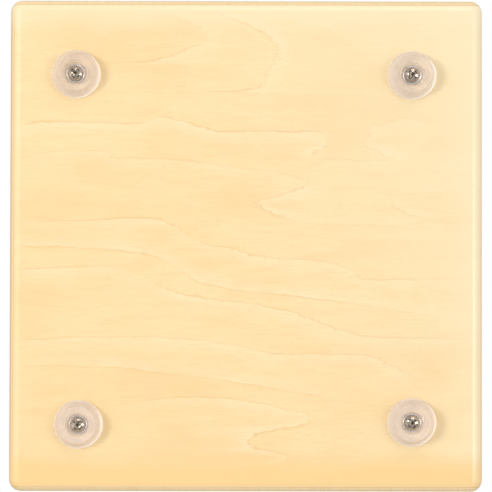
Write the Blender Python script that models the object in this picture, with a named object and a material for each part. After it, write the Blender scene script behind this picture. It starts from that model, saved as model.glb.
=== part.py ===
"""A box cajon on four rubber feet, modelled as the separate pieces that it is built from.

Units are metres and +Z is up. The origin is on the floor, under the middle of the box. The playing
plate, or tapa, faces -Y and the sound hole faces +Y.
"""

import math
from typing import NamedTuple

import bmesh
import bpy
from mathutils import Matrix, Vector

# Driving dimensions of the box
WIDTH = 0.295
DEPTH = 0.3065
HEIGHT = 0.480
FOOT_HEIGHT = 0.012
BOARD = 0.012
TAPA = 0.0030
BACK = 0.003
EDGE_RADIUS = 0.0075
EDGE_STEPS = 5
GAP = 0.0003
OVERSIZE = 0.005

# Sound hole in the back panel
HOLE_RADIUS = 0.0575
HOLE_HEIGHT = 0.290
HOLE_SIDES = 48

# Battens inside the box
BATTEN = 0.015
BATTEN_CHAMFER = 0.0012
CORNER_BATTEN_CLEARANCE = 0.006

# Snares
RAIL_HEIGHT = 0.375
RAIL_DEPTH = 0.012
RAIL_WIDTH = 0.022
SNARE_OFFSET = 0.055
PLATE_WIDTH = 0.046
PLATE_HEIGHT = 0.014
PLATE_ABOVE_RAIL = 0.004
PLATE_THICKNESS = 0.001
STRANDS = 10
STRAND_PITCH = 0.0044
STRAND_RADIUS = 0.0011
STRAND_LENGTH = 0.060
STRAND_SIDES = 5
STRAND_ROOT = 0.0022
SNARE_SCREW_OFFSET = 0.014
SNARE_SCREW_DROP = 0.005

# Feet: where each was screwed on, and the turned shape that they share
FEET = {
    "front_left": (-0.1060, -0.1065),
    "front_right": (0.1031, -0.1060),
    "rear_left": (-0.1039, 0.1112),
    "rear_right": (0.1031, 0.1097),
}
FOOT_BASE_RADIUS = 0.0151
FOOT_FLOOR_RADIUS = 0.0118
FOOT_BASE_ROUND = 0.0006
FOOT_FLOOR_ROUND = 0.0014
RECESS_MOUTH_RADIUS = 0.0075
RECESS_MOUTH_ROUND = 0.0008
RECESS_SEAT_RADIUS = 0.0063
FOOT_SEAT_THICKNESS = 0.0035
FOOT_SIDES = 28
WASHER_RADIUS = 0.0060
WASHER_THICKNESS = 0.0010
WASHER_CHAMFER = 0.0003
WASHER_SIDES = 24

# Cross recess in the screw heads, as shares of the head's radius; the taper is what is left at its floor
CROSS_ARM = 0.55
CROSS_SLOT = 0.17
CROSS_TAPER = 0.35

# Screws: a countersunk head's straight land, and the tip's length in shank radii
HEAD_LAND = 0.0003
TIP_LENGTH = 1.5
PAN_ROUND = 0.6

COLOURS = {
    "maple": (0.86, 0.68, 0.42),
    "spruce": (0.70, 0.50, 0.28),
    "rubber": (0.80, 0.74, 0.68),
    "nickel": (0.72, 0.70, 0.66),
    "steel": (0.55, 0.55, 0.55),
}
ROUGHNESS = {"maple": 0.35, "spruce": 0.7, "rubber": 0.25, "nickel": 0.2, "steel": 0.35}
METALS = ("nickel", "steel")


class Screw(NamedTuple):
    """A screw's sizes; head_height is also how deep a countersunk head reaches."""

    head_radius: float
    head_height: float
    shank_radius: float
    length: float
    countersunk: bool
    sides: int
    recess_depth: float


FOOT_SCREW = Screw(0.0047, 0.0034, 0.00225, 0.0160, False, 20, 0.0018)
TAPA_SCREW = Screw(0.0035, 0.0020, 0.0016, 0.0160, True, 12, 0.0012)
RAIL_SCREW = Screw(0.0035, 0.0020, 0.0016, 0.0200, True, 12, 0.0012)
SNARE_SCREW = Screw(0.0028, 0.0018, 0.0014, 0.0100, False, 12, 0.0010)

# Places worked out from the driving dimensions
BOX_LOW = Vector((-WIDTH / 2, -DEPTH / 2, FOOT_HEIGHT))
BOX_HIGH = Vector((WIDTH / 2, DEPTH / 2, HEIGHT))
FRAME_FRONT = BOX_LOW.y + TAPA + GAP
FRAME_BACK = BOX_HIGH.y - BACK - GAP
INNER_LOW = Vector((BOX_LOW.x + BOARD, FRAME_FRONT, BOX_LOW.z + BOARD))
INNER_HIGH = Vector((BOX_HIGH.x - BOARD, FRAME_BACK, BOX_HIGH.z - BOARD))
BATTEN_BACK = FRAME_FRONT + BATTEN
RAIL_FRONT = BATTEN_BACK + GAP
RAIL_TOP = RAIL_HEIGHT + RAIL_WIDTH / 2
FOOT_SEAT = FOOT_HEIGHT - GAP - FOOT_SEAT_THICKNESS


def clear_scene():
    """Removes whatever objects the file opened with."""
    for old in list(bpy.data.objects):
        bpy.data.objects.remove(old, do_unlink=True)


def make_material(name, finish):
    """A Principled material of one finish."""
    material = bpy.data.materials.new(name)
    material.use_nodes = True
    shader = material.node_tree.nodes["Principled BSDF"]
    shader.inputs["Base Color"].default_value = (*COLOURS[finish], 1.0)
    shader.inputs["Roughness"].default_value = ROUGHNESS[finish]
    shader.inputs["Metallic"].default_value = 1.0 if finish in METALS else 0.0
    material.diffuse_color = (*COLOURS[finish], 1.0)
    return material


def mesh_from(bm, name):
    """Closes a bmesh into a smooth-shaded mesh whose faces point out."""
    bmesh.ops.recalc_face_normals(bm, faces=bm.faces)
    mesh = bpy.data.meshes.new(name)
    bm.to_mesh(mesh)
    bm.free()
    mesh.shade_smooth()
    mesh.set_sharp_from_angle(angle=math.radians(30))
    return mesh


def place(name, mesh, finish, matrix=Matrix()):
    """Adds an object for one piece, with a material of its own."""
    piece = bpy.data.objects.new(name, mesh)
    piece.matrix_world = matrix
    if not mesh.materials:
        mesh.materials.append(None)
    piece.material_slots[0].link = "OBJECT"
    piece.material_slots[0].material = make_material(name, finish)
    bpy.context.scene.collection.objects.link(piece)
    return piece


def make_cutter(name, mesh):
    """Adds a guide object for Booleans, which is not a piece."""
    cutter = bpy.data.objects.new(name, mesh)
    cutter.hide_render = True
    cutter.display_type = "WIRE"
    bpy.context.scene.collection.objects.link(cutter)
    return cutter


def add_boolean(piece, cutter, operation="DIFFERENCE"):
    """Cuts, trims or joins a piece with another object."""
    boolean = piece.modifiers.new(operation.title(), "BOOLEAN")
    boolean.operation = operation
    boolean.solver = "EXACT"
    boolean.object = cutter


def add_box(bm, low, high):
    """Adds a box between two corners."""
    low, high = Vector(low), Vector(high)
    middle = Matrix.Translation((low + high) / 2)
    bmesh.ops.create_cube(bm, size=1.0, matrix=middle @ Matrix.Diagonal((*(high - low), 1.0)))


def make_box(name, low, high, finish, chamfer=0.0):
    """A box-shaped piece between two corners."""
    bm = bmesh.new()
    add_box(bm, low, high)
    if chamfer:
        bmesh.ops.bevel(bm, geom=bm.edges[:], offset=chamfer, segments=1, affect="EDGES")
    return place(name, mesh_from(bm, name), finish)


def add_turned(bm, profile, sides, matrix=Matrix(), closed=False):
    """Spins points of (radius, height) round the Z axis, then moves the result to matrix."""
    turned = bmesh.new()
    points = [turned.verts.new((radius, 0.0, height)) for radius, height in profile]
    edges = [turned.edges.new(pair) for pair in zip(points, points[1:])]
    if closed:
        edges.append(turned.edges.new((points[-1], points[0])))
    bmesh.ops.spin(turned, geom=points + edges, axis=(0, 0, 1), angle=math.tau, steps=sides)
    bmesh.ops.remove_doubles(turned, verts=turned.verts, dist=1e-6)
    turned.transform(matrix)
    bmesh.ops.recalc_face_normals(turned, faces=turned.faces)
    add_bmesh(bm, turned)


def add_bmesh(bm, other):
    """Moves everything in other into bm."""
    carrier = bpy.data.meshes.new("carrier")
    other.to_mesh(carrier)
    other.free()
    bm.from_mesh(carrier)
    bpy.data.meshes.remove(carrier)


def arc(centre, radius, start, end, steps):
    """Points along an arc of (radius, height), with its angles in degrees."""
    angles = [math.radians(start + (end - start) * step / steps) for step in range(steps + 1)]
    return [(centre[0] + radius * math.cos(a), centre[1] + radius * math.sin(a)) for a in angles]


def make_envelope():
    """The rounded outside of the whole box, which trims every outer board."""
    bm = bmesh.new()
    add_box(bm, BOX_LOW, BOX_HIGH)
    bmesh.ops.bevel(
        bm,
        geom=bm.edges[:],
        offset=EDGE_RADIUS,
        segments=EDGE_STEPS,
        profile=0.5,
        affect="EDGES",
    )
    return make_cutter("envelope", mesh_from(bm, "envelope"))


def make_shell(envelope):
    """The six outer boards: seat and bottom over the sides, tapa and back over all their edges."""
    out = Vector((OVERSIZE, OVERSIZE, OVERSIZE))
    low, high = BOX_LOW - out, BOX_HIGH + out
    side_low, side_high = INNER_LOW.z + GAP, INNER_HIGH.z - GAP
    spans = {
        "bottom_board": ((low.x, FRAME_FRONT, low.z), (high.x, FRAME_BACK, INNER_LOW.z)),
        "top_board": ((low.x, FRAME_FRONT, INNER_HIGH.z), (high.x, FRAME_BACK, high.z)),
        "left_side": ((low.x, FRAME_FRONT, side_low), (INNER_LOW.x, FRAME_BACK, side_high)),
        "right_side": ((INNER_HIGH.x, FRAME_FRONT, side_low), (high.x, FRAME_BACK, side_high)),
        "tapa": ((low.x, low.y, low.z), (high.x, BOX_LOW.y + TAPA, high.z)),
        "back_panel": ((low.x, BOX_HIGH.y - BACK, low.z), (high.x, high.y, high.z)),
    }
    boards = {}
    for name, (corner, opposite) in spans.items():
        boards[name] = make_box(name, corner, opposite, "maple")
        add_boolean(boards[name], envelope, "INTERSECT")
    return boards


def cut_sound_hole(back_panel):
    """Opens the round hole through the back panel."""
    bm = bmesh.new()
    reach = BACK + OVERSIZE
    profile = [(0.0, -reach), (HOLE_RADIUS, -reach), (HOLE_RADIUS, reach), (0.0, reach)]
    matrix = facing((0.0, BOX_HIGH.y, HOLE_HEIGHT), "+Y")
    add_turned(bm, profile, HOLE_SIDES, matrix)
    add_boolean(back_panel, make_cutter("sound_hole", mesh_from(bm, "sound_hole")))


def make_front_battens():
    """The frame behind the tapa's edges: two uprights with a batten between them at each end."""
    low, high = INNER_LOW, INNER_HIGH
    inset = BATTEN + GAP
    battens = {}
    for side, left in (("left", low.x + GAP), ("right", high.x - GAP - BATTEN)):
        name = f"front_batten_{side}"
        corner = (left, FRAME_FRONT, low.z + GAP)
        opposite = (left + BATTEN, BATTEN_BACK, high.z - GAP)
        battens[name] = make_box(name, corner, opposite, "spruce", BATTEN_CHAMFER)
    for end, bottom in (("bottom", low.z + GAP), ("top", high.z - GAP - BATTEN)):
        name = f"front_batten_{end}"
        corner = (low.x + GAP + inset, FRAME_FRONT, bottom)
        opposite = (high.x - GAP - inset, BATTEN_BACK, bottom + BATTEN)
        battens[name] = make_box(name, corner, opposite, "spruce", BATTEN_CHAMFER)
    return battens


def make_corner_battens():
    """Four battens that run front to back where the sides meet the seat and the bottom."""
    front = BATTEN_BACK + CORNER_BATTEN_CLEARANCE
    back = FRAME_BACK - CORNER_BATTEN_CLEARANCE
    for side, left in (("left", INNER_LOW.x + GAP), ("right", INNER_HIGH.x - GAP - BATTEN)):
        for end, bottom in (("bottom", INNER_LOW.z + GAP), ("top", INNER_HIGH.z - GAP - BATTEN)):
            corner = (left, front, bottom)
            opposite = (left + BATTEN, back, bottom + BATTEN)
            make_box(f"corner_batten_{end}_{side}", corner, opposite, "spruce", BATTEN_CHAMFER)


def facing(point, direction):
    """A matrix that sets a shape's own +Z along direction, with its origin at point."""
    turns = {
        "+Z": Matrix(),
        "+Y": Matrix.Rotation(math.radians(-90), 4, "X"),
        "-Y": Matrix.Rotation(math.radians(90), 4, "X"),
    }
    return Matrix.Translation(point) @ turns[direction]


def screw_end(screw):
    """How far the tip is from the head's crown."""
    return screw.length + (0.0 if screw.countersunk else screw.head_height)


def screw_profile(screw):
    """Half outline of a screw from the head's crown, at height 0, to the tip."""
    shank, end = screw.shank_radius, screw_end(screw)
    if screw.countersunk:
        head = [(0.0, 0.0), (screw.head_radius, 0.0), (screw.head_radius, HEAD_LAND)]
        neck = [(shank, screw.head_height)]
    else:
        curve = screw.head_height * PAN_ROUND
        head = [(0.0, 0.0)] + arc((screw.head_radius - curve, curve), curve, -90, 0, 3)
        neck = [(screw.head_radius, screw.head_height), (shank, screw.head_height)]
    return head + neck + [(shank, end - shank * TIP_LENGTH), (0.0, end)]


def hole_profile(screw):
    """Half outline of the hole that takes a screw: its own outline with a gap all round."""
    shank = screw.shank_radius + GAP
    end = screw_end(screw) + GAP
    if screw.countersunk:
        mouth = screw.head_radius + GAP
        sink = screw.head_height + GAP
        head = [(0.0, -OVERSIZE), (mouth, -OVERSIZE), (mouth, HEAD_LAND + GAP), (shank, sink)]
    else:
        head = [(0.0, 0.0), (shank, 0.0)]
    return head + [(shank, end), (0.0, end)]


def cross_outline(arm, slot):
    """The twelve corners of a cross whose arms reach arm from its middle."""
    quarter = [(arm, -slot), (arm, slot), (slot, slot)]
    corners = []
    for turn in range(4):
        rotation = Matrix.Rotation(math.radians(90 * turn), 2)
        corners += [rotation @ Vector(corner) for corner in quarter]
    return corners


def cross_cutter(screw):
    """The tapered cross that the driver's bit leaves in a screw's head."""
    arm = screw.head_radius * CROSS_ARM
    slot = screw.head_radius * CROSS_SLOT
    bm = bmesh.new()
    rings = []
    for height, scale in ((-OVERSIZE, 1.0), (0.0, 1.0), (screw.recess_depth, CROSS_TAPER)):
        outline = cross_outline(arm * scale, slot * (1.0 + scale) / 2)
        rings.append([bm.verts.new((*corner, height)) for corner in outline])
    for lower, upper in zip(rings, rings[1:]):
        for index in range(len(lower)):
            after = (index + 1) % len(lower)
            bm.faces.new((lower[index], lower[after], upper[after], upper[index]))
    bm.faces.new(rings[0])
    bm.faces.new(rings[-1])
    return make_cutter("cross", mesh_from(bm, "cross"))


def screw_mesh(name, screw):
    """One screw with its cross recess cut, to be shared by every screw of its size."""
    bm = bmesh.new()
    add_turned(bm, screw_profile(screw), screw.sides)
    blank = bpy.data.objects.new(name, mesh_from(bm, name))
    bpy.context.scene.collection.objects.link(blank)
    cutter = cross_cutter(screw)
    add_boolean(blank, cutter)
    graph = bpy.context.evaluated_depsgraph_get()
    mesh = bpy.data.meshes.new_from_object(blank.evaluated_get(graph), depsgraph=graph)
    for helper in (blank, cutter):
        bpy.data.objects.remove(helper, do_unlink=True)
    mesh.name = name
    return mesh


def make_screws(kind, screw, places, finish, boards):
    """Puts a screw at each named place and drills its hole in the boards that it passes."""
    mesh = screw_mesh(kind, screw)
    holes = bmesh.new()
    for name, matrix in places.items():
        place(name, mesh, finish, matrix)
        add_turned(holes, hole_profile(screw), screw.sides, matrix)
    cutter = make_cutter(f"{kind}_holes", mesh_from(holes, f"{kind}_holes"))
    for board in boards:
        add_boolean(board, cutter)


def tapa_screw_places():
    """Sixteen places round the tapa, all along the middle of the front battens."""
    inset = BOARD + GAP + BATTEN / 2
    right = BOX_HIGH.x - inset
    low, high = BOX_LOW.z + inset, BOX_HIGH.z - inset
    sunk = BOX_LOW.y + GAP / 2
    places = {}
    for side, x in (("left", -right), ("right", right)):
        for step in range(5):
            height = low + (high - low) * step / 4
            places[f"tapa_screw_{side}_{step + 1}"] = facing((x, sunk, height), "+Y")
    for end, height in (("bottom", low), ("top", high)):
        for step in range(3):
            x = right * (step - 1) / 2
            places[f"tapa_screw_{end}_{step + 1}"] = facing((x, sunk, height), "+Y")
    return places


def make_rail(battens):
    """The cross bar behind the upper tapa, screwed to the two uprights from behind."""
    corner = (INNER_LOW.x + GAP, RAIL_FRONT, RAIL_TOP - RAIL_WIDTH)
    opposite = (INNER_HIGH.x - GAP, RAIL_FRONT + RAIL_DEPTH, RAIL_TOP)
    rail = make_box("snare_rail", corner, opposite, "spruce", BATTEN_CHAMFER)
    middle = INNER_HIGH.x - GAP - BATTEN / 2
    sunk = RAIL_FRONT + RAIL_DEPTH - GAP / 2
    places = {
        f"rail_screw_{side}": facing((x, sunk, RAIL_HEIGHT), "-Y")
        for side, x in (("left", -middle), ("right", middle))
    }
    uprights = [battens["front_batten_left"], battens["front_batten_right"]]
    make_screws("rail_screw", RAIL_SCREW, places, "steel", [rail, *uprights])
    return rail


def strand_matrix(x):
    """Where a strand starts on its plate, leaning forward so that its tip nears the tapa."""
    start = Vector((x, RAIL_FRONT - GAP - PLATE_THICKNESS / 2, RAIL_TOP + STRAND_ROOT))
    travel = start.y - (BOX_LOW.y + TAPA + GAP + STRAND_RADIUS)
    lean = math.asin(travel / STRAND_LENGTH)
    return Matrix.Translation(start) @ Matrix.Rotation(lean, 4, "X")


def make_snare(side, middle):
    """One snare set: an end plate with its row of wire strands, as one soldered piece."""
    back, top = RAIL_FRONT - GAP, RAIL_TOP + PLATE_ABOVE_RAIL
    corner = (middle - PLATE_WIDTH / 2, back - PLATE_THICKNESS, top - PLATE_HEIGHT)
    opposite = (middle + PLATE_WIDTH / 2, back, top)
    plate = make_box(f"snare_{side}", corner, opposite, "steel")
    radius, length = STRAND_RADIUS, STRAND_LENGTH
    profile = [(0.0, 0.0), (radius, 0.0), (radius, length), (0.0, length)]
    bm = bmesh.new()
    for strand in range(STRANDS):
        x = middle + (strand - (STRANDS - 1) / 2) * STRAND_PITCH
        add_turned(bm, profile, STRAND_SIDES, strand_matrix(x))
    strands = make_cutter(f"strands_{side}", mesh_from(bm, f"strands_{side}"))
    add_boolean(plate, strands, "UNION")
    return plate


def make_snares(rail):
    """Both snare sets and the screws that hold them to the rail's front."""
    front = RAIL_FRONT - GAP - PLATE_THICKNESS - GAP - SNARE_SCREW.head_height
    plates = []
    places = {}
    for side, middle in (("left", -SNARE_OFFSET), ("right", SNARE_OFFSET)):
        plates.append(make_snare(side, middle))
        for number, offset in enumerate((-SNARE_SCREW_OFFSET, SNARE_SCREW_OFFSET), start=1):
            point = (middle + offset, front, RAIL_TOP - SNARE_SCREW_DROP)
            places[f"snare_screw_{side}_{number}"] = facing(point, "+Y")
    make_screws("snare_screw", SNARE_SCREW, places, "steel", [rail, *plates])


def foot_profile():
    """Half outline of a foot: tapered side, floor ring, screw recess and the hole for the screw."""
    base, seat = FOOT_HEIGHT - GAP, FOOT_SEAT
    curve = FOOT_BASE_ROUND
    side = arc((FOOT_BASE_RADIUS - curve, base - curve), curve, 90, 0, 2)
    curve = FOOT_FLOOR_ROUND
    floor = arc((FOOT_FLOOR_RADIUS - curve, curve), curve, -15, -90, 3)
    curve = RECESS_MOUTH_ROUND
    mouth = arc((RECESS_MOUTH_RADIUS + curve, curve), curve, -90, -180, 2)
    hole = FOOT_SCREW.shank_radius + GAP
    return side + floor + mouth + [(RECESS_SEAT_RADIUS, seat), (hole, seat), (hole, base)]


def washer_profile():
    """Half outline of a flat washer with chamfered outer edges, from its lower face at height 0."""
    hole, rim = FOOT_SCREW.shank_radius + GAP, WASHER_RADIUS
    return [
        (hole, 0.0),
        (rim - WASHER_CHAMFER, 0.0),
        (rim, WASHER_CHAMFER),
        (rim, WASHER_THICKNESS),
        (hole, WASHER_THICKNESS),
    ]


def turned_mesh(name, profile, sides):
    """A ring-shaped mesh from a closed half outline."""
    bm = bmesh.new()
    add_turned(bm, profile, sides, closed=True)
    return mesh_from(bm, name)


def make_feet(bottom_board):
    """Each foot with its washer and the screw that goes up into the bottom board."""
    foot_mesh = turned_mesh("foot", foot_profile(), FOOT_SIDES)
    washer_mesh = turned_mesh("washer", washer_profile(), WASHER_SIDES)
    washer_low = FOOT_SEAT - GAP - WASHER_THICKNESS
    crown = washer_low - GAP - FOOT_SCREW.head_height
    places = {}
    for corner, (x, y) in FEET.items():
        place(f"foot_{corner}", foot_mesh, "rubber", Matrix.Translation((x, y, 0.0)))
        place(f"foot_washer_{corner}", washer_mesh, "nickel", Matrix.Translation((x, y, washer_low)))
        places[f"foot_screw_{corner}"] = facing((x, y, crown), "+Z")
    make_screws("foot_screw", FOOT_SCREW, places, "nickel", [bottom_board])


def main():
    clear_scene()
    boards = make_shell(make_envelope())
    cut_sound_hole(boards["back_panel"])
    battens = make_front_battens()
    make_corner_battens()
    pierced = [boards["tapa"], *battens.values()]
    make_screws("tapa_screw", TAPA_SCREW, tapa_screw_places(), "steel", pierced)
    make_snares(make_rail(battens))
    make_feet(boards["bottom_board"])


main()
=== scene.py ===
"""The looks of the cajon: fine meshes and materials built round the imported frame.

Lengths are metres in the row frame: +Z is up, the tapa faces -Y and the feet stand on z = 0. The
camera looks straight up at the underside of the box.
"""

import math
from collections import namedtuple

import bmesh
import bpy
from mathutils import Matrix, Vector


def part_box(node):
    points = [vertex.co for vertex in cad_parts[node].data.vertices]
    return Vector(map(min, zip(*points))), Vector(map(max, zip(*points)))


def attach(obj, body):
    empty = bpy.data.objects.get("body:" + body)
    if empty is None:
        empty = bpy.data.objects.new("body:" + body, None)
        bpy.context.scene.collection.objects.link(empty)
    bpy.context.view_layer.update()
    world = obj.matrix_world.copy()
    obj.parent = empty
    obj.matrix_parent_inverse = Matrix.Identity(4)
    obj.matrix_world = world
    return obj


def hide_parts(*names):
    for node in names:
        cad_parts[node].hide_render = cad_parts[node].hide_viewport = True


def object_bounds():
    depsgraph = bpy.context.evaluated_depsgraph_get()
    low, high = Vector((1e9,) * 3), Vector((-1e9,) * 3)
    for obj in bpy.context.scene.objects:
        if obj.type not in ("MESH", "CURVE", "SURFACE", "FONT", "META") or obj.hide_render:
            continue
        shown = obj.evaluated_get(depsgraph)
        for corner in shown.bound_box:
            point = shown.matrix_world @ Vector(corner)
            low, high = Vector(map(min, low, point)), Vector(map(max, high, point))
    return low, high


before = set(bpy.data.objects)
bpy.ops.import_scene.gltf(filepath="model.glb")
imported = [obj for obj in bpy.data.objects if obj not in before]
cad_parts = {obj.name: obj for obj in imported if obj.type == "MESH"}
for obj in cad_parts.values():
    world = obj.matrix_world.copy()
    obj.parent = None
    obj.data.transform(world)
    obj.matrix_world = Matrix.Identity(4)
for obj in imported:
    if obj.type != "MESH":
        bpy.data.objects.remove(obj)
CAD_LOW, CAD_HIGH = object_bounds()

# The box, from the frame
BOX_LOW = Vector((CAD_LOW.x, CAD_LOW.y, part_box("bottom_board")[0].z))
BOX_HIGH = CAD_HIGH.copy()
TAPA_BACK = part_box("tapa")[1].y
PANEL_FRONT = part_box("back_panel")[0].y
BOTTOM_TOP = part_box("bottom_board")[1].z
SEAT_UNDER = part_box("top_board")[0].z
SIDE_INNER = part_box("right_side")[0].x
BOARD = BOTTOM_TOP - BOX_LOW.z
TAPA = TAPA_BACK - BOX_LOW.y
BACK = BOX_HIGH.y - PANEL_FRONT
EDGE_RADIUS = 0.0075
EDGE_STEPS = 14
OVERSIZE = 0.005

# The gap between two fine boards, closer than in the CAD
JOINT = 0.00006

# Sound hole
HOLE_RADIUS = 0.0575
HOLE_HEIGHT = 0.290
HOLE_ROUND = 0.0012
HOLE_SIDES = 128

CORNERS = ("front_left", "front_right", "rear_left", "rear_right")


# ---------------------------------------------------------------- node helpers


def linear(red, green, blue):
    """A linear colour from display values of 0 to 255."""
    parts = [channel / 255 for channel in (red, green, blue)]
    return tuple(c / 12.92 if c <= 0.04045 else ((c + 0.055) / 1.055) ** 2.4 for c in parts)


class Number:
    """A number that a node puts out; its operators add Math nodes."""

    def __init__(self, graph, socket):
        self.graph = graph
        self.socket = socket

    def __add__(self, other):
        return self.graph.math("ADD", self, other)

    def __sub__(self, other):
        return self.graph.math("SUBTRACT", self, other)

    def __mul__(self, other):
        return self.graph.math("MULTIPLY", self, other)

    def __truediv__(self, other):
        return self.graph.math("DIVIDE", self, other)

    def __pow__(self, other):
        return self.graph.math("POWER", self, other)

    def __abs__(self):
        return self.graph.math("ABSOLUTE", self)


class Graph:
    """Short calls that add nodes to a node tree."""

    def __init__(self, tree):
        self.tree = tree

    def plug(self, value, socket):
        """Links a Number or an output to a socket, or sets its plain value."""
        if isinstance(value, Number):
            value = value.socket
        if isinstance(value, bpy.types.NodeSocket):
            self.tree.links.new(value, socket)
        elif isinstance(value, tuple) and socket.type == "RGBA":
            socket.default_value = (*value, 1.0)
        else:
            socket.default_value = value

    def add(self, kind, **settings):
        """Adds a node of one kind."""
        node = self.tree.nodes.new(kind)
        for name, value in settings.items():
            setattr(node, name, value)
        return node

    def math(self, operation, first, second=0.0):
        node = self.add("ShaderNodeMath", operation=operation)
        self.plug(first, node.inputs[0])
        self.plug(second, node.inputs[1])
        return Number(self, node.outputs[0])

    def split(self, vector):
        """A vector's three numbers, keyed x, y and z."""
        node = self.add("ShaderNodeSeparateXYZ")
        self.plug(vector, node.inputs[0])
        return {axis: Number(self, output) for axis, output in zip("xyz", node.outputs)}

    def vector(self, x, y, z):
        node = self.add("ShaderNodeCombineXYZ")
        for value, socket in zip((x, y, z), node.inputs):
            self.plug(value, socket)
        return node.outputs[0]

    def noise(self, vector, detail=2.0, roughness=0.5):
        """Smooth noise from 0 to 1, one bump for each unit of vector."""
        node = self.add("ShaderNodeTexNoise")
        self.plug(vector, node.inputs["Vector"])
        node.inputs["Scale"].default_value = 1.0
        node.inputs["Detail"].default_value = detail
        node.inputs["Roughness"].default_value = roughness
        return Number(self, node.outputs[0])

    def rise(self, value, low, high):
        """0 at low, 1 at high and a smooth step between them; low may exceed high."""
        node = self.add("ShaderNodeMapRange", interpolation_type="SMOOTHSTEP")
        self.plug(value, node.inputs["Value"])
        ends = (low, high, 0.0, 1.0) if low < high else (high, low, 1.0, 0.0)
        for socket, end in zip(node.inputs[1:5], ends):
            socket.default_value = end
        return Number(self, node.outputs[0])

    def curve(self, value, points, low, high):
        """A smooth curve through points of (in, out) that lie between low and high."""
        node = self.add("ShaderNodeFloatCurve")
        line = node.mapping.curves[0]
        node.mapping.extend = "HORIZONTAL"
        while len(line.points) < len(points):
            line.points.new(0.5, 0.5)
        for knot, point in zip(line.points, sorted(points)):
            knot.location = [(part - low) / (high - low) for part in point]
            knot.handle_type = "AUTO_CLAMPED"
        node.mapping.update()
        self.plug((value - low) / (high - low), node.inputs["Value"])
        return Number(self, node.outputs[0]) * (high - low) + low

    def mix(self, share, first, second):
        """A colour between two, share of the way to the second."""
        node = self.add("ShaderNodeMix", data_type="RGBA")
        self.plug(share, node.inputs[0])
        self.plug(first, node.inputs[6])
        self.plug(second, node.inputs[7])
        return node.outputs[2]

    def mix_shader(self, share, first, second):
        node = self.add("ShaderNodeMixShader")
        self.plug(share, node.inputs[0])
        self.plug(first, node.inputs[1])
        self.plug(second, node.inputs[2])
        return node.outputs[0]


class Shader(Graph):
    """A material in the making, with its Principled node."""

    def __init__(self, name, **inputs):
        self.material = bpy.data.materials.new(name)
        self.material.use_nodes = True
        super().__init__(self.material.node_tree)
        self.surface = self.tree.nodes["Principled BSDF"]
        for socket, value in inputs.items():
            self.feed(socket.replace("_", " "), value)

    def feed(self, socket, value):
        """Sets an input of the Principled node, or links a node to it."""
        self.plug(value, self.surface.inputs[socket])

    def place(self):
        """The point's place in the row frame."""
        return self.split(self.add("ShaderNodeTexCoord").outputs["Object"])

    def facing(self):
        """The face's direction in the row frame, each part without its sign."""
        parts = self.split(self.add("ShaderNodeNewGeometry").outputs["Normal"])
        return {axis: abs(part) for axis, part in parts.items()}

    def speckle(self, place, size, detail=2.0):
        """Noise with the same size of bump every way."""
        return self.noise(self.vector(*(place[axis] / size for axis in "xyz")), detail, 0.6)

    def bump(self, height, distance, strength):
        """Feeds a small relief, in metres, to the Principled node's normal."""
        node = self.add("ShaderNodeBump")
        node.inputs["Strength"].default_value = strength
        node.inputs["Distance"].default_value = distance
        self.plug(height, node.inputs["Height"])
        self.feed("Normal", node.outputs[0])


# ---------------------------------------------------------------- wood

# Lacquered maple: the veneer's tones, its lines and fibres, what shows on the plies' edges, and the
# underside's painted sheen and painted shade
VENEER = linear(255, 227, 174)
VENEER_PALE_AND_SHEEN = linear(255, 237, 197)
VENEER_AMBER_AND_SHADE = linear(252, 214, 154)
# The amber of a painted shade along the underside's rear edge
VENEER_REAR_SHADE = linear(253, 214, 147)
RING_LINE = linear(241, 198, 134)
FIBRE = linear(244, 209, 150)
PLY_LONG = linear(255, 226, 172)
PLY_END = linear(255, 212, 150)
PLY_PORE = linear(224, 174, 112)
GLUE = linear(206, 160, 100)
SEAM = linear(226, 184, 122)

# Growth rings: how far apart the free ones are, how wide a line and the pale wood beside it are, how
# far from the middle of the board a set one may run, and how softly one ends
RING_SPACING = 0.013
LINE_WIDTH = 0.0009
PALE_WIDTH = 0.0100
HALF_FRAME = 0.155
SLOPE_STEP = 0.0012
UPRIGHT_END = 0.003
LEVEL_END = 0.010
PAST_END = 0.0005

# Where the face veneer ends and the core begins, counted in plies
VENEER_ENDS = 0.94
CORE_BEGINS = 1.02

# The line along a seam: its full tone and its soft edge
SEAM_HALF = 0.00010
SEAM_SOFT = 0.00045

# Strips along three edges of the underside, from where each begins to where it is full: painted sheen
# along the right and the front, painted shade along the rear
RIGHT_SHEEN_STRIP = (0.118, 0.142)
FRONT_SHEEN_STRIP = (-0.130, -0.146)
REAR_SHADE_STRIP = (0.126, 0.143)

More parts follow.
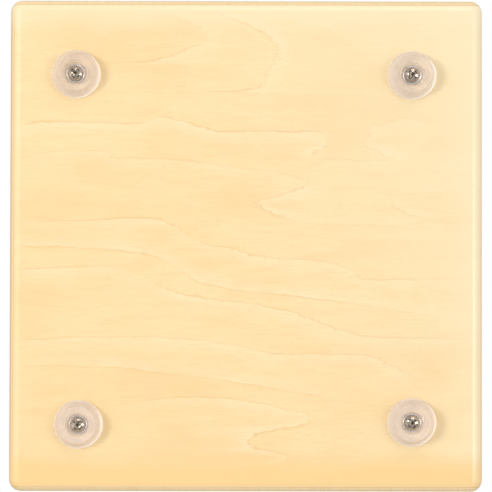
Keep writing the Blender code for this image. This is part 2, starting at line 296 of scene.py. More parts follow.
# The bottom board's set growth rings, in millimetres of the row frame. A level ring is a y for each
# x, and an upright one an x for each y. The wood is paler on its positive side when side is 1, and
# on the other when it is -1.
RingLine = namedtuple("RingLine", "upright side strength points")
RING_LINES = (
    RingLine(
        True, 1, 0.8,
        ((-60, -146), (-40, -141), (-28, -134), (-24, -130), (-35, -123), (-60, -115), (-115, -112)),
    ),
    RingLine(
        True, 1, 1.0,
        (
            (-20, -146), (0, -138), (12, -132), (20, -118),
            (14, -110), (8, -99), (-28, -95), (-78, -94),
        ),
    ),
    RingLine(
        False, 1, 1.0,
        (
            (-143, -75), (-120, -77), (-65, -76), (-55, -80),
            (-35, -76), (-15, -71), (45, -71), (54, -67),
        ),
    ),
    RingLine(True, -1, 1.0, ((54, -67), (45, -59), (40, -55))),
    RingLine(False, 1, 0.5, ((40, -54), (94, -53))),
    RingLine(True, 1, 1.0, ((72, -77), (77, -71), (73, -65), (80, -60), (94, -53))),
    RingLine(False, 1, 0.7, ((72, -77), (85, -75), (96, -80), (108, -78), (116, -81))),
    RingLine(
        False, 1, 0.6,
        (
            (-143, -54), (-110, -59), (-90, -59), (-80, -54),
            (-60, -54), (0, -48), (25, -44), (40, -39),
        ),
    ),
    RingLine(True, 1, 1.0, ((40, -39), (30, -34), (14, -29), (7, -26), (14, -21), (31, -15))),
    RingLine(False, -1, 0.5, ((31, -14), (95, -12), (114, -17))),
    RingLine(True, 1, 1.0, ((93, -32), (91, -28), (98, -21), (114, -17))),
    RingLine(False, -1, 0.5, ((91, -31), (105, -33), (139, -34))),
    RingLine(
        False, 1, 0.8,
        (
            (-143, -15), (-110, -15), (-72, -17), (-53, -16), (-25, -1),
            (-10, 1), (5, 6), (62, 13), (75, 21), (139, 21),
        ),
    ),
    RingLine(False, -1, 0.8, ((-143, 0), (-56, 7), (-25, 24), (25, 31), (65, 36), (127, 45))),
    RingLine(
        False, 1, 0.8,
        ((-143, 15), (-84, 13), (-65, 19), (-47, 28), (20, 39), (75, 56), (136, 58)),
    ),
    RingLine(False, 1, 0.8, ((-143, 59), (-80, 57), (-5, 62), (15, 67), (75, 68), (105, 82))),
    RingLine(False, -1, 0.7, ((-143, 75), (-84, 76), (-45, 80), (50, 94))),
    RingLine(False, 1, 0.9, ((-84, 100), (-35, 94), (15, 99), (34, 105))),
    RingLine(
        True, -1, 1.0,
        ((24, 101), (40, 108), (16, 115), (2, 122), (21, 129), (27, 131), (0, 138), (-28, 146)),
    ),
    RingLine(True, 1, 0.8, ((130, -143), (110, -138), (106, -132), (108, -129))),
    RingLine(False, 1, 0.5, ((119, -114), (139, -109))),
)


def drawn_ring(shader, x, y, ring):
    """How strongly one set ring marks a point, as a thin line and as the pale wood beside it."""
    points = [(along / 1000, across / 1000) for along, across in ring.points]
    if ring.upright:
        points = [(across, along) for along, across in points]
    run, value = (y, x) if ring.upright else (x, y)
    away = value - shader.curve(run, points, -HALF_FRAME, HALF_FRAME)
    if ring.upright:
        ahead = shader.curve(run + SLOPE_STEP, points, -HALF_FRAME, HALF_FRAME)
        behind = shader.curve(run - SLOPE_STEP, points, -HALF_FRAME, HALF_FRAME)
        slope = (ahead - behind) / (2 * SLOPE_STEP)
        away = away / shader.math("SQRT", slope * slope + 1.0)
    first, last = min(points)[0], max(points)[0]
    soft = UPRIGHT_END if ring.upright else LEVEL_END
    begun = shader.rise(run, first - PAST_END, first + soft)
    reach = begun * shader.rise(run, last + PAST_END, last - soft)
    line = shader.rise(abs(away), LINE_WIDTH, 0.0) * reach * ring.strength
    beside = shader.rise(away * ring.side, PALE_WIDTH, 0.0) * reach * ring.strength
    paler = shader.math("GREATER_THAN", away * ring.side, 0.0)
    return line, beside * paler


def set_rings(shader, place):
    """The bottom board's rings: every set line, and the pale wood beside them."""
    x, y = place["x"], place["y"]
    tear_x = shader.noise(shader.vector(x * 120.0, y * 480.0, 1.3), 3.0, 0.65)
    tear_y = shader.noise(shader.vector(x * 70.0, y * 120.0, 8.6), 4.0, 0.65)
    x = x + (tear_x - 0.5) * 0.016
    y = y + (tear_y - 0.5) * 0.0032
    line, pale = 0.0, 0.0
    for ring in RING_LINES:
        ring_line, ring_pale = drawn_ring(shader, x, y, ring)
        line = shader.math("MAXIMUM", ring_line, line)
        pale = shader.math("MAXIMUM", ring_pale, pale)
    return line, pale


def free_rings(shader, along, across, seed):
    """Gently waved growth rings for a sheet without a set figure, as lines and pale wood."""
    broad = shader.noise(shader.vector(along * 3.2, across * 13.0, seed), 1.0, 0.4)
    bays = shader.noise(shader.vector(along * 9.0, across * 30.0, seed + 3.7), 2.0, 0.55)
    ragged = shader.noise(shader.vector(along * 60.0, across * 190.0, seed + 9.1), 3.0, 0.6)
    share = shader.math("FRACT", across / RING_SPACING + broad * 7.0 + bays * 1.6 + ragged * 0.4)
    return shader.rise(share, 0.85, 1.0) ** 2.2, shader.rise(share, 0.45, 0.0)


def veneer_colour(shader, rings, along, across, seed):
    """Lacquered maple veneer: ring lines, the pale wood beside them, fibres and drifts of tone."""
    line, pale = rings
    patchy = shader.noise(shader.vector(along * 22.0, across * 40.0, seed + 1.9), 2.0, 0.5)
    fibres = shader.noise(shader.vector(along * 110.0, across * 1300.0, seed + 7.7), 2.0, 0.6)
    flecks = shader.noise(shader.vector(along * 300.0, across * 1900.0, seed + 2.2), 1.0, 0.5)
    streaks = shader.noise(shader.vector(along * 30.0, across * 210.0, seed + 5.1), 3.0, 0.6)
    drift = shader.noise(shader.vector(along * 11.0, across * 26.0, seed + 4.4), 3.0, 0.6)
    colour = shader.mix(shader.rise(drift, 0.42, 0.68) * 0.55, VENEER, VENEER_AMBER_AND_SHADE)
    colour = shader.mix(shader.rise(streaks, 0.42, 0.72) * 0.40, colour, VENEER_AMBER_AND_SHADE)
    colour = shader.mix(pale * (patchy * 0.6 + 0.15), colour, VENEER_PALE_AND_SHEEN)
    colour = shader.mix(line * shader.rise(patchy, 0.20, 0.65) * 0.8, colour, RING_LINE)
    colour = shader.mix(shader.rise(fibres, 0.50, 0.78) * 0.50, colour, FIBRE)
    return shader.mix(shader.rise(flecks, 0.58, 0.78) * 0.55, colour, FIBRE)


def ply_edge(shader, layer, facing, grain, cross, place):
    """The colour of the inner plies, which show end grain and long grain by turns."""
    crossed = shader.math("PINGPONG", shader.math("FLOOR", layer), 1.0)
    turned = shader.math("GREATER_THAN", facing[grain], facing[cross])
    end_grain = abs(crossed - turned)
    streaks = shader.speckle(place, 0.004, 3.0)
    pores = shader.speckle(place, 0.0007)
    long_grain = shader.mix(shader.rise(streaks, 0.35, 0.75) * 0.4, PLY_LONG, PLY_END)
    speckled = shader.mix(shader.rise(pores, 0.45, 0.75) * 0.5, PLY_END, PLY_PORE)
    share = shader.math("FRACT", layer)
    glue = shader.math("MAXIMUM", shader.rise(share, 0.16, 0.02), shader.rise(share, 0.84, 0.98))
    return shader.mix(glue * 0.75, shader.mix(end_grain, long_grain, speckled), GLUE)


def plywood(name, sheet, seed, rings_set=False):
    """Lacquered plywood: veneer on both faces and plies between them, told apart by depth."""
    shader = Shader(name, Roughness=0.40, IOR=1.5, Coat_Weight=1.0, Coat_IOR=1.5, Coat_Roughness=0.26)
    place, facing = shader.place(), shader.facing()
    cross = next(axis for axis in "xyz" if axis not in (sheet.layers, sheet.grain))
    layer = (place[sheet.layers] - sheet.outer) * (sheet.inward * sheet.plies / sheet.thickness)
    along, across = place[sheet.grain], place[cross]
    line, pale = set_rings(shader, place) if rings_set else free_rings(shader, along, across, seed)
    face_on = shader.rise(facing[sheet.layers], 0.35, 0.85)
    veneer = veneer_colour(shader, (line * face_on, pale * face_on), along, across, seed)
    core = ply_edge(shader, layer, facing, sheet.grain, cross, place)
    past_face = shader.rise(layer, VENEER_ENDS, CORE_BEGINS)
    before_back = shader.rise(layer, sheet.plies - VENEER_ENDS, sheet.plies - CORE_BEGINS)
    wood = shader.mix(past_face * before_back, veneer, core)
    # The underside gets painted sheen and painted shade over its wood
    if rings_set:
        wood = painted_sheen_and_shade(shader, wood, place)
    to_seam = shader.math("MINIMUM", abs(place["y"] - TAPA_BACK), abs(place["y"] - PANEL_FRONT))
    seam = shader.rise(to_seam, SEAM_SOFT, SEAM_HALF)
    shader.feed("Base Color", shader.mix(seam * 0.5, wood, SEAM))
    pores = shader.noise(shader.vector(along * 90.0, across * 2600.0, seed + 6.1), 2.0, 0.6)
    shader.bump(pores, 0.00002, 0.4)
    return shader.material


def painted_sheen_and_shade(shader, wood, place):
    """Painted sheen and painted shade over the underside's wood.

    Painted sheen makes it paler towards the tapa and the right and along the right and front edges.
    It is more amber towards the rear and the left, partly the wood's tone and partly painted shade.
    Painted shade makes it amber along the rear edge.
    """
    paler = place["x"] * 3.4 - place["y"] * 1.6
    amber = place["y"] * 1.7 - place["x"] * 2.2
    cloud = shader.noise(shader.vector(place["x"] * 14.0, place["y"] * 26.0, 12.0), 3.0, 0.6) - 0.5
    # Painted sheen: paler towards the right and the tapa, and along the right edge
    wood = shader.mix(shader.rise(paler + cloud * 0.5, -0.10, 0.95) * 0.75, wood, VENEER_PALE_AND_SHEEN)
    right = shader.rise(place["x"] + cloud * 0.02, *RIGHT_SHEEN_STRIP)
    wood = shader.mix(right * 0.35, wood, VENEER_PALE_AND_SHEEN)
    # More amber towards the rear and the left: partly the wood's tone, partly painted shade
    wood = shader.mix(shader.rise(amber + cloud * 0.9, 0.05, 0.90) * 0.60, wood, VENEER_AMBER_AND_SHADE)
    # Painted sheen along the front edge
    front = shader.rise(place["y"] + cloud * 0.02, *FRONT_SHEEN_STRIP)
    wood = shader.mix(front * 0.55, wood, VENEER_PALE_AND_SHEEN)
    # Painted shade along the rear edge
    rear = shader.rise(place["y"] + cloud * 0.012, *REAR_SHADE_STRIP)
    return shader.mix(rear * 0.9, wood, VENEER_REAR_SHADE)


def batten_material():
    """Planed spruce with soft straight grain."""
    shader = Shader("planed_spruce", Roughness=0.62)
    place = shader.place()
    lengthwise = shader.vector(place["x"] * 30.0, place["y"] * 420.0, place["z"] * 420.0)
    grain = shader.noise(lengthwise, 2.0, 0.6)
    colour = shader.mix(shader.rise(grain, 0.30, 0.75), linear(226, 188, 132), linear(196, 148, 92))
    pores = shader.speckle(place, 0.0011)
    shader.feed("Base Color", shader.mix(pores * 0.3, colour, linear(180, 134, 84)))
    shader.bump(grain, 0.00008, 0.6)
    return shader.material


# ---------------------------------------------------------------- rubber and metal

# How far in from a foot's rim its moulded edge and its crescent of painted glow reach, how softly the
# painted glow at its recess's mouth ends, how far apart the faint rings in its haze are, and the way that
# the side with the painted glow faces
RIM_WIDTH = 0.0007
CRESCENT_OUTER = 0.0003
CRESCENT_INNER = 0.0018
MOUTH_SOFT = 0.0007
RING_PITCH = 0.0011
GLOW_WAY = (0.93, 0.37)


def rubber_material(name, haze):
    """Clear rubber with a milky haze: thin in its flats, denser in its wall and at its moulded rim.

    Its places are in the foot's own frame. Shadow rays find the flats clearer and the wall nearly
    shut, because clear rubber bends the light off its wall and on to the wood behind its flats. The
    rim towards GLOW_WAY gets a painted highlight: a crescent that glows by emission and is hazier.
    The recess's mouth gets a fainter painted glow by emission. Both stand in for light the rubber pipes.
    """
    shader = Shader(name, Roughness=0.06, IOR=1.45, Transmission_Weight=0.20)
    place, facing = shader.place(), shader.facing()
    radius = shader.math("SQRT", place["x"] * place["x"] + place["y"] * place["y"])
    wall = shader.rise(facing["z"], 0.80, 0.35) * shader.rise(radius, MOUTH_RADIUS, MOUTH_RADIUS + 0.002)
    rim = shader.rise(radius, RIM_RADIUS - RIM_WIDTH, RIM_RADIUS)
    below_base = shader.rise(place["z"], FOOT_BASE - 0.0002, FOOT_BASE - 0.0006)
    cloud = shader.speckle(place, 0.0040, 4.0)
    rings = shader.math("SINE", radius * (math.tau / RING_PITCH) + cloud * 5.0)
    flats = cloud * 0.24 + rings * 0.03 + (haze - 0.12)
    milk = shader.math("MAXIMUM", flats * below_base, wall * (cloud * 0.2 + 0.52))
    # Painted highlight: a crescent of the rim on one side is hazier and glows
    crescent = shader.rise(radius, RIM_RADIUS - CRESCENT_INNER, RIM_RADIUS - CRESCENT_OUTER)
    glow_side = (place["x"] * GLOW_WAY[0] + place["y"] * GLOW_WAY[1]) / radius
    glow = crescent * shader.rise(glow_side, 0.05, 0.95)
    milk = shader.math("MAXIMUM", milk, rim * 0.30 + glow * 0.62) + 0.03
    # Painted glow at the recess's mouth
    past_seat = shader.rise(radius, SEAT_RADIUS - 0.0004, SEAT_RADIUS)
    mouth = shader.rise(radius, MOUTH_RADIUS + MOUTH_SOFT, MOUTH_RADIUS) * past_seat
    shadow = Number(shader, shader.add("ShaderNodeLightPath").outputs["Is Shadow Ray"])
    cast = shader.math("MAXIMUM", milk * 0.5, wall * 0.9)
    shader.feed("Alpha", milk + (cast - milk) * shadow)
    tint = shader.mix(wall, linear(255, 241, 232), linear(246, 238, 242))
    shader.feed("Base Color", shader.mix(rim, tint, linear(255, 252, 250)))
    # The emission is painted glow; the rubber is no lamp
    shader.feed("Emission Color", linear(255, 252, 246))
    shader.feed("Emission Strength", glow * 0.13 + mouth * 0.20)
    return shader.material


def metal_material(name, colour, dark, roughness):
    """Plated metal with faint uneven polish."""
    shader = Shader(name, Metallic=1.0)
    wear = shader.speckle(shader.place(), 0.0007, 3.0)
    shader.feed("Base Color", shader.mix(shader.rise(wear, 0.35, 0.75), colour, dark))
    shader.feed("Roughness", wear * 0.10 + (roughness - 0.05))
    return shader.material


# ---------------------------------------------------------------- mesh helpers


def add_box(bm, low, high):
    low, high = Vector(low), Vector(high)
    middle = Matrix.Translation((low + high) / 2)
    bmesh.ops.create_cube(bm, size=1.0, matrix=middle @ Matrix.Diagonal((*(high - low), 1.0)))


def add_turned(bm, profile, sides, matrix=Matrix(), closed=False):
    """Spins points of (radius, height) round the Z axis, then moves the result to matrix."""
    turned = bmesh.new()
    points = [turned.verts.new((radius, 0.0, height)) for radius, height in profile]
    edges = [turned.edges.new(pair) for pair in zip(points, points[1:])]
    if closed:
        edges.append(turned.edges.new((points[-1], points[0])))
    bmesh.ops.spin(turned, geom=points + edges, axis=(0, 0, 1), angle=math.tau, steps=sides)
    bmesh.ops.remove_doubles(turned, verts=turned.verts, dist=1e-6)
    turned.transform(matrix)
    bmesh.ops.recalc_face_normals(turned, faces=turned.faces)
    carrier = bpy.data.meshes.new("carrier")
    turned.to_mesh(carrier)
    turned.free()
    bm.from_mesh(carrier)
    bpy.data.meshes.remove(carrier)


def arc(centre, radius, start, end, steps):
    """Points along an arc of (radius, height), with its angles in degrees."""
    angles = [math.radians(start + (end - start) * step / steps) for step in range(steps + 1)]
    return [(centre[0] + radius * math.cos(a), centre[1] + radius * math.sin(a)) for a in angles]


def mesh_from(bm, name):
    bmesh.ops.recalc_face_normals(bm, faces=bm.faces)
    mesh = bpy.data.meshes.new(name)
    bm.to_mesh(mesh)
    bm.free()
    return mesh


def add_object(name, mesh):
    piece = bpy.data.objects.new(name, mesh)
    bpy.context.scene.collection.objects.link(piece)
    return piece


def boolean(piece, cutter, operation):
    """Cuts or trims a piece with another object and keeps the result as its mesh."""
    modifier = piece.modifiers.new(operation.title(), "BOOLEAN")
    modifier.operation = operation
    modifier.solver = "EXACT"
    modifier.object = cutter
    graph = bpy.context.evaluated_depsgraph_get()
    mesh = bpy.data.meshes.new_from_object(piece.evaluated_get(graph), depsgraph=graph)
    piece.modifiers.clear()
    piece.data = mesh


def soften(piece, angle=30.0):
    """Shades a piece smooth, with its flat faces kept flat and edges over angle kept crisp."""
    piece.data.shade_smooth()
    piece.data.set_sharp_from_angle(angle=math.radians(angle))
    weighted = piece.modifiers.new("Even normals", "WEIGHTED_NORMAL")
    weighted.keep_sharp = True


def finish_piece(piece, node, material):
    """Puts a piece in a CAD node's stead, with its material and its slot in the record."""
    piece.data.materials.clear()
    piece.data.materials.append(material)
    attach(piece, "root")
    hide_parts(node)


# ---------------------------------------------------------------- the box


def make_envelope():
    """The box's rounded outside, which trims each oversize board."""
    bm = bmesh.new()
    add_box(bm, BOX_LOW, BOX_HIGH)
    bmesh.ops.bevel(
        bm,
        geom=bm.edges[:],
        offset=EDGE_RADIUS,
        segments=EDGE_STEPS,
        profile=0.5,
        affect="EDGES",
    )
    return add_object("envelope", mesh_from(bm, "envelope"))


def board_spans():
    """Two corners for each outer board, oversize where the envelope trims it."""
    low = BOX_LOW - Vector((OVERSIZE,) * 3)
    high = BOX_HIGH + Vector((OVERSIZE,) * 3)
    front, back = TAPA_BACK + JOINT, PANEL_FRONT - JOINT
    side_low, side_high = BOTTOM_TOP + JOINT, SEAT_UNDER - JOINT
    return {
        "bottom_board": ((low.x, front, low.z), (high.x, back, BOTTOM_TOP)),
        "top_board": ((low.x, front, SEAT_UNDER), (high.x, back, high.z)),
        "left_side": ((low.x, front, side_low), (-SIDE_INNER, back, side_high)),
        "right_side": ((SIDE_INNER, front, side_low), (high.x, back, side_high)),
        "tapa": ((low.x, low.y, low.z), (high.x, TAPA_BACK, high.z)),
        "back_panel": ((low.x, PANEL_FRONT, low.z), (high.x, high.y, high.z)),
    }


# A board's plies: the axis they stack along, the outer face's place on it, the way into the board,
# its thickness, how many plies it has and the axis that the face veneer's grain follows.
Sheet = namedtuple("Sheet", "layers outer inward thickness plies grain")


def board_materials():
    """Each board's own plywood, so that no figure repeats."""
    return {
        "bottom_board": plywood(
            "maple_bottom", Sheet("z", BOX_LOW.z, 1, BOARD, 7, "x"), 2.0, rings_set=True
        ),
        "top_board": plywood("maple_seat", Sheet("z", BOX_HIGH.z, -1, BOARD, 7, "x"), 31.0),
        "left_side": plywood("maple_left", Sheet("x", BOX_LOW.x, 1, BOARD, 7, "z"), 47.0),
        "right_side": plywood("maple_right", Sheet("x", BOX_HIGH.x, -1, BOARD, 7, "z"), 59.0),
        "tapa": plywood("maple_tapa", Sheet("y", BOX_LOW.y, 1, TAPA, 3, "z"), 71.0),
        "back_panel": plywood("maple_back", Sheet("y", BOX_HIGH.y, -1, BACK, 3, "z"), 83.0),
    }


def sound_hole_cutter():
    """A round cutter whose ends flare, so that it leaves the hole's rims rounded."""
    inner, outer = -BACK, 0.0
    curve = HOLE_ROUND
    profile = [(0.0, inner - OVERSIZE), (HOLE_RADIUS + curve, inner - OVERSIZE)]
    profile += arc((HOLE_RADIUS + curve, inner + curve), curve, -90, -180, 6)
    profile += arc((HOLE_RADIUS + curve, outer - curve), curve, 180, 90, 6)
    profile += [(HOLE_RADIUS + curve, outer + OVERSIZE), (0.0, outer + OVERSIZE)]
    bm = bmesh.new()
    matrix = Matrix.Translation((0.0, BOX_HIGH.y, HOLE_HEIGHT))
    add_turned(bm, profile, HOLE_SIDES, matrix @ Matrix.Rotation(math.radians(-90), 4, "X"))
    return add_object("hole_cutter", mesh_from(bm, "hole_cutter"))


def screw_hole_cutter():
    """A cutter for the countersunk holes that the tapa's screws sit in."""
    bm = bmesh.new()
    for node in TAPA_SCREWS:
        low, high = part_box(node)
        radius = (high.x - low.x) / 2 + HEAD_GAP
        shank = SUNK_SCREW.shank + HEAD_GAP
        end = TAPA + OVERSIZE
        head = [(0.0, -OVERSIZE), (radius, -OVERSIZE), (radius, SUNK_LAND)]
        neck = [(shank, SUNK_SCREW.head + HEAD_GAP), (shank, end), (0.0, end)]
        add_turned(bm, head + neck, SCREW_SIDES, axis_matrix(node, "+Y"))
    return add_object("screw_holes", mesh_from(bm, "screw_holes"))


def make_boards():
    """The six outer boards, each trimmed to the box's rounded outside."""
    envelope = make_envelope()
    holes = {"tapa": screw_hole_cutter(), "back_panel": sound_hole_cutter()}
    materials = board_materials()
    for node, (corner, opposite) in board_spans().items():
        bm = bmesh.new()
        add_box(bm, corner, opposite)
        board = add_object(f"{node}_plywood", mesh_from(bm, node))
        boolean(board, envelope, "INTERSECT")
        if node in holes:
            boolean(board, holes[node], "DIFFERENCE")
        soften(board)
        finish_piece(board, node, materials[node])
    for helper in (envelope, *holes.values()):
        bpy.data.objects.remove(helper, do_unlink=True)


# ---------------------------------------------------------------- feet

FOOT_SIDES = 96

# How milky the front feet's rubber is, and the rear feet's
FRONT_HAZE = 0.42
REAR_HAZE = 0.54

# A foot's turned shape, from its base over its shoulder and its floor ring into its recess
FOOT_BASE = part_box("foot_front_left")[1].z
RIM_RADIUS = 0.0149
BASE_ROUND = 0.0005
BASE_LIP = 0.0010
SHOULDER = 0.0010
FLOOR_RADIUS = 0.0118
FLOOR_ROUND = 0.0014
MOUTH_RADIUS = 0.0075
MOUTH_ROUND = 0.0008
SEAT_RADIUS = 0.0063
SEAT_THICKNESS = 0.0035
SHANK_HOLE = 0.00255

# A washer's flat, the slope at which its domed face ends, in degrees, and its rounded rim
WASHER_FLAT = 0.0044
WASHER_SLOPE = 35
WASHER_ROUND = 0.0002


def foot_profile(base_radius, base):
    """Half outline of a foot from its base down to the floor ring and up into the recess."""
    seat = base - SEAT_THICKNESS
    curve = BASE_ROUND
    side = arc((base_radius - curve, base - curve), curve, 90, 0, 6)
    shoulder = (base_radius - SHOULDER, base - BASE_LIP)
    side += arc(shoulder, SHOULDER, 0, -80, 6)
    curve = FLOOR_ROUND
    floor = arc((FLOOR_RADIUS - curve, curve), curve, -14, -90, 8)
    curve = MOUTH_ROUND
    mouth = arc((MOUTH_RADIUS + curve, curve), curve, -90, -172, 6)
    return side + floor + mouth + [(SEAT_RADIUS, seat), (SHANK_HOLE, seat), (SHANK_HOLE, base)]


def washer_profile(radius, low, high):
    """Half outline of a washer whose lower face curves away towards its rim."""
    reach = radius - WASHER_FLAT
    curve = reach / math.sin(math.radians(WASHER_SLOPE))
    face = arc((WASHER_FLAT, low + curve), curve, -90, WASHER_SLOPE - 90, 8)
    rim = arc((radius - WASHER_ROUND, high - WASHER_ROUND), WASHER_ROUND, 0, 90, 4)
    return [(SHANK_HOLE, low)] + face + rim + [(SHANK_HOLE, high)]


def turned_piece(name, profile, middle):
    """A ring-shaped object turned round its own upright axis, which stands at middle."""
    bm = bmesh.new()
    add_turned(bm, profile, FOOT_SIDES, closed=True)
    piece = add_object(name, mesh_from(bm, name))
    piece.location = (middle.x, middle.y, 0.0)
    soften(piece, 40.0)
    return piece


def make_feet(washer_nickel):
    """Each foot's rubber and its washer, turned where the frame has them."""
    rubbers = {
        "front": rubber_material("clear_rubber", FRONT_HAZE),
        "rear": rubber_material("milky_rubber", REAR_HAZE),
    }
    for corner in CORNERS:
        low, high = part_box(f"foot_{corner}")
        middle = (low + high) / 2
        foot = turned_piece(f"foot_{corner}_rubber", foot_profile((high.x - low.x) / 2, high.z), middle)
        finish_piece(foot, f"foot_{corner}", rubbers[corner.split("_")[0]])
        low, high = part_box(f"foot_washer_{corner}")
        profile = washer_profile((high.x - low.x) / 2, low.z, high.z)
        washer = turned_piece(f"foot_washer_{corner}_ring", profile, middle)
        finish_piece(washer, f"foot_washer_{corner}", washer_nickel)


# ---------------------------------------------------------------- screws

SCREW_SIDES = 48
SUNK_LAND = 0.0003
HEAD_GAP = 0.00010
FOOT_TURNS = (42, 47, 38, 52)
TAPA_SCREWS = [f"tapa_screw_{side}_{n}" for side in ("left", "right") for n in range(1, 6)]
TAPA_SCREWS += [f"tapa_screw_{end}_{n}" for end in ("bottom", "top") for n in range(1, 4)]
RAIL_SCREWS = ["rail_screw_left", "rail_screw_right"]
SNARE_SCREWS = [f"snare_screw_{side}_{n}" for side in ("left", "right") for n in (1, 2)]


def pan_profile(radius, head, shank, end):
    """Half outline of a pan-head screw: low dome, full round edge, flat underside, shank, tip."""
    curve = head * 0.26
    dome = radius * 0.22
    crown = [(radius * part, dome * (part / 0.86) ** 2) for part in (0.0, 0.2, 0.4, 0.6, 0.75)]
    edge = arc((radius - curve, curve + dome), curve, -65, 0, 8)
    neck = [(radius, head - 0.0002), (radius - 0.0002, head), (shank, head)]
    return crown + edge + neck + [(shank, end - shank * 2.2), (shank * 0.3, end - 0.0002), (0.0, end)]


def sunk_profile(radius, head, shank, end):
    """Half outline of a countersunk screw: flat crown, thin land, cone, shank, tip."""
    crown = [(0.0, 0.0), (radius - 0.00015, 0.0), (radius, 0.00015), (radius, SUNK_LAND)]
    neck = [(shank * 1.15, head * 0.92), (shank, head * 1.15)]
    return crown + neck + [(shank, end - shank * 2.2), (shank * 0.3, end - 0.0002), (0.0, end)]


# A kind of screw: its half outline, head height, shank radius and how deep its recess goes
ScrewKind = namedtuple("ScrewKind", "outline head shank recess")
FOOT_SCREW = ScrewKind(pan_profile, 0.0034, 0.00225, 0.0022)
SUNK_SCREW = ScrewKind(sunk_profile, 0.0020, 0.0016, 0.0015)
SNARE_SCREW = ScrewKind(pan_profile, 0.0018, 0.0014, 0.0011)


def cross_outline(arm, slot):
    """The twelve corners of a cross whose arms reach arm from its middle."""
    quarter = [(arm, -slot), (arm, slot), (slot, slot)]
    corners = []
    for turn in range(4):
        rotation = Matrix.Rotation(math.radians(90 * turn), 2)
        corners += [rotation @ Vector(corner) for corner in quarter]
    return corners


def cross_cutter(radius, depth):
    """The tapered cross that takes the driver, open above the crown and pointed at its floor."""
    bm = bmesh.new()
    rings = []
    for height, arm, slot in (
        (-0.001, 0.72, 0.185),
        (0.0, 0.70, 0.18),
        (depth * 0.75, 0.50, 0.15),
        (depth, 0.18, 0.09),
    ):
        outline = cross_outline(radius * arm, radius * slot)
        rings.append([bm.verts.new((*corner, height)) for corner in outline])
    for lower, upper in zip(rings, rings[1:]):
        for index in range(len(lower)):
            after = (index + 1) % len(lower)
            bm.faces.new((lower[index], lower[after], upper[after], upper[index]))
    bm.faces.new(rings[0])
    bm.faces.new(rings[-1])
    return add_object("cross", mesh_from(bm, "cross"))


def screw_mesh(name, profile, radius, depth):
    """A turned screw with its cross recess, shared by all screws of its size."""
    bm = bmesh.new()
    add_turned(bm, profile, SCREW_SIDES)
    blank = add_object(name, mesh_from(bm, name))
    cutter = cross_cutter(radius, depth)
    boolean(blank, cutter, "DIFFERENCE")
    mesh = blank.data
    for helper in (blank, cutter):
        bpy.data.objects.remove(helper, do_unlink=True)
    return mesh


def axis_matrix(node, direction):
    """Where a screw's crown sits and which way its shank points, from its CAD node."""
    low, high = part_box(node)
    middle = (low + high) / 2
    if direction == "+Z":
        return Matrix.Translation((middle.x, middle.y, low.z))
    if direction == "+Y":
        return Matrix.Translation((middle.x, low.y, middle.z)) @ Matrix.Rotation(-math.pi / 2, 4, "X")
    return Matrix.Translation((middle.x, high.y, middle.z)) @ Matrix.Rotation(math.pi / 2, 4, "X")


def place_screws(nodes, direction, kind, material, turns=(45, 112, 179, 246)):
    """Puts the same screw at each of the frame's places, each turned as the driver left it."""
    low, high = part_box(nodes[0])
    radius = (high.x - low.x) / 2
    length = (high.z - low.z) if direction == "+Z" else (high.y - low.y)
    outline = kind.outline(radius, kind.head, kind.shank, length)
    mesh = screw_mesh(f"{nodes[0]}_shape", outline, radius, kind.recess)
    for number, node in enumerate(nodes):
        turn = Matrix.Rotation(math.radians(turns[number % len(turns)]), 4, "Z")
        piece = add_object(f"{node}_steel", mesh.copy())
        piece.data.transform(axis_matrix(node, direction) @ turn)
        soften(piece)
        finish_piece(piece, node, material)


def make_screws(nickel, zinc):
    feet = [f"foot_screw_{corner}" for corner in CORNERS]
    place_screws(feet, "+Z", FOOT_SCREW, nickel, FOOT_TURNS)
    place_screws(TAPA_SCREWS, "+Y", SUNK_SCREW, zinc)
    place_screws(RAIL_SCREWS, "-Y", SUNK_SCREW, zinc)
    place_screws(SNARE_SCREWS, "+Y", SNARE_SCREW, zinc)


# ---------------------------------------------------------------- inside


def finish_cad(node, material):
    """Gives a piece that keeps its CAD shape its material."""
    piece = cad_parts[node]
    piece.data.materials.clear()
    piece.data.materials.append(material)


def finish_inside(steel):
    """The battens and the rail take the planed spruce, and the snare sets their steel."""
    spruce = batten_material()
    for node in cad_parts:
        if "batten" in node or node == "snare_rail":
            finish_cad(node, spruce)
    for side in ("left", "right"):
        finish_cad(f"snare_{side}", steel)


# ---------------------------------------------------------------- stage


# A softbox: its place, its width and height, its watts, and whether glossy surfaces mirror it
Softbox = namedtuple("Softbox", "name place size power sheen")
UNDER_LIGHTS = (
    Softbox("under_left", (-2.0, 0.1, -1.90), (2.6, 1.3), 7.0, True),
    Softbox("key_left", (-1.60, -0.12, -1.95), (0.55, 0.55), 20.0, False),
    Softbox("spark", (-1.25, -0.50, -2.00), (0.30, 0.30), 2.0, True),
    Softbox("under_right", (1.70, 0.10, -2.20), (0.6, 0.8), 8.5, True),
    Softbox("under_front", (0.3, -1.75, -2.05), (1.1, 1.5), 6.0, True),
    Softbox("low_right", (2.5, 0.2, -0.7), (1.2, 0.5), 1.5, True),
    Softbox("under_rear", (0.0, 2.5, -0.7), (2.0, 0.6), 7.0, True),
)
ROOM_LIGHTS = (
    Softbox("front_left", (-1.0, -2.4, 1.7), (1.4, 1.4), 18.0, False),
    Softbox("front_right", (2.0, -1.4, 1.2), (1.4, 1.4), 9.0, False),
    Softbox("back", (0.6, 2.2, 1.6), (1.6, 1.4), 13.0, False),
)
ROOM_AIM = (0.0, 0.0, 0.25)


def add_light(softbox, target):
    """Adds a softbox that the camera can't see, turned towards target."""
    data = bpy.data.lights.new(softbox.name, "AREA")
    data.shape = "RECTANGLE"
    data.size, data.size_y = softbox.size
    data.energy = softbox.power
    light = add_object(softbox.name, data)
    light.location = softbox.place
    aim = (Vector(target) - light.location).to_track_quat("-Z", "Y")
    light.rotation_mode = "QUATERNION"
    light.rotation_quaternion = aim
    light.visible_camera = False
    light.visible_glossy = softbox.sheen


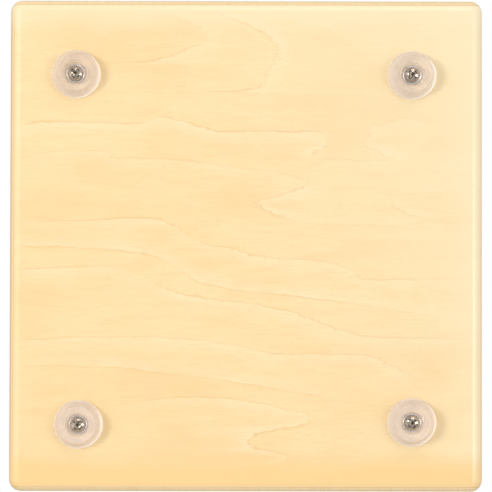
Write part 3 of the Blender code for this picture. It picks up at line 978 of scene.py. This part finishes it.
def make_lights():
    """Softboxes below for the feet's shadows and for sheen, and above for the rest."""
    for softbox in UNDER_LIGHTS:
        add_light(softbox, (0.0, 0.0, BOX_LOW.z))
    for softbox in ROOM_LIGHTS:
        add_light(softbox, ROOM_AIM)


# Brightness of the light tent by height, from -1 straight down to 1 straight up, how much it grows
# towards +X and +Y, and how much brighter its left and right sides are than its front and back
TENT = (
    (-1.0, 0.06),
    (-0.97, 0.12),
    (-0.92, 0.64),
    (-0.82, 0.68),
    (-0.60, 0.64),
    (-0.30, 0.60),
    (0.0, 0.60),
    (0.4, 0.50),
    (1.0, 0.38),
)
TENT_LEAN = (0.22, -0.25)
TENT_SIDES = 0.12


def make_world():
    """White behind the object; its surfaces see a light tent, brightest to the front and right."""
    world = bpy.data.worlds.new("studio")
    bpy.context.scene.world = world
    world.use_nodes = True
    graph = Graph(world.node_tree)
    way = graph.split(graph.add("ShaderNodeTexCoord").outputs["Generated"])
    sides = way["x"] * way["x"] - way["y"] * way["y"]
    lean = way["x"] * TENT_LEAN[0] + way["y"] * TENT_LEAN[1] + sides * TENT_SIDES + 1.0
    tent = graph.tree.nodes["Background"]
    graph.plug(graph.curve(way["z"], TENT, -1.0, 1.5) * lean, tent.inputs["Strength"])
    graph.plug((1.0, 1.0, 1.0), tent.inputs["Color"])
    backdrop = graph.add("ShaderNodeBackground")
    graph.plug((1.0, 1.0, 1.0), backdrop.inputs["Color"])
    seen = graph.add("ShaderNodeLightPath").outputs["Is Camera Ray"]
    mixed = graph.mix_shader(seen, tent.outputs[0], backdrop.outputs[0])
    graph.plug(mixed, graph.tree.nodes["World Output"].inputs[0])


# The floor's half width, how far it lies below the feet, and its paper away from the box and its painted
# contact shadow near it
FLOOR_SIZE = 30.0
FLOOR_DROP = 0.0004
FLOOR_PAPER = linear(236, 236, 236)
FLOOR_PAINTED_SHADOW = linear(146, 145, 144)


def make_floor():
    """A pale floor, seen from above only, that keeps no light from the underside.

    Near the box it is darkened with a painted contact shadow, where the bright underside would make it
    glow.
    """
    bm = bmesh.new()
    bmesh.ops.create_grid(bm, x_segments=1, y_segments=1, size=FLOOR_SIZE)
    floor = add_object("floor", mesh_from(bm, "floor"))
    floor.location.z = -FLOOR_DROP
    shader = Shader("floor_paper", Roughness=0.9)
    place = shader.place()
    # A painted contact shadow, darkest next to the box
    past_x = shader.math("MAXIMUM", abs(place["x"]) - BOX_HIGH.x, 0.0)
    past_y = shader.math("MAXIMUM", abs(place["y"]) - BOX_HIGH.y, 0.0)
    past_painted_shadow = shader.rise(shader.math("SQRT", past_x * past_x + past_y * past_y), -0.010, 0.038)
    shader.feed("Base Color", shader.mix(past_painted_shadow, FLOOR_PAINTED_SHADOW, FLOOR_PAPER))
    geometry = shader.add("ShaderNodeNewGeometry")
    clear = shader.add("ShaderNodeBsdfTransparent")
    mixed = shader.mix_shader(geometry.outputs["Backfacing"], shader.surface.outputs[0], clear.outputs[0])
    shader.plug(mixed, shader.tree.nodes["Material Output"].inputs[0])
    floor.data.materials.append(shader.material)
    floor.visible_diffuse = False
    floor.visible_glossy = False
    floor.visible_transmission = False
    floor.visible_shadow = False


CAMERA_DISTANCE = 1.40
FRAME_WIDTH = 0.3060
SENSOR = 36.0
CAMERA_AIM = Vector((0.00002, 0.00034, 0.0))
CAMERA_SHIFT = 0.031
CAMERA_ROLL = 0.12


def make_camera():
    """A long lens under the box, a little to the rear, with the tapa's edge at the top."""
    data = bpy.data.cameras.new("camera")
    data.sensor_width = SENSOR
    data.lens = SENSOR * CAMERA_DISTANCE / FRAME_WIDTH
    data.dof.use_dof = False
    camera = add_object("camera", data)
    target = CAMERA_AIM + Vector((0.0, 0.0, BOX_LOW.z))
    camera.location = target + Vector((0.0, CAMERA_SHIFT, -CAMERA_DISTANCE))
    back = (camera.location - target).normalized()
    right = Vector((1.0, 0.0, 0.0))
    up = back.cross(right)
    turned = Matrix((right, up, back)).transposed().to_4x4()
    roll = Matrix.Rotation(math.radians(CAMERA_ROLL), 4, "Z")
    camera.matrix_world = Matrix.Translation(camera.location) @ turned @ roll
    data.clip_start, data.clip_end = 0.05, 60.0
    bpy.context.scene.camera = camera


# ---------------------------------------------------------------- build


def corners(box):
    return [list(corner) for corner in box]


make_camera()
make_boards()
nickel = metal_material("nickel_plate", linear(214, 200, 182), linear(78, 64, 50), 0.13)
washed = metal_material("nickel_washer", linear(232, 232, 232), linear(196, 194, 192), 0.20)
zinc = metal_material("zinc_plate", linear(196, 196, 196), linear(150, 150, 152), 0.30)
make_feet(washed)
make_screws(nickel, zinc)
finish_inside(metal_material("snare_wire", linear(214, 214, 212), linear(168, 166, 162), 0.24))
make_world()
make_floor()
make_lights()
bpy.context.scene.view_settings.view_transform = "Standard"
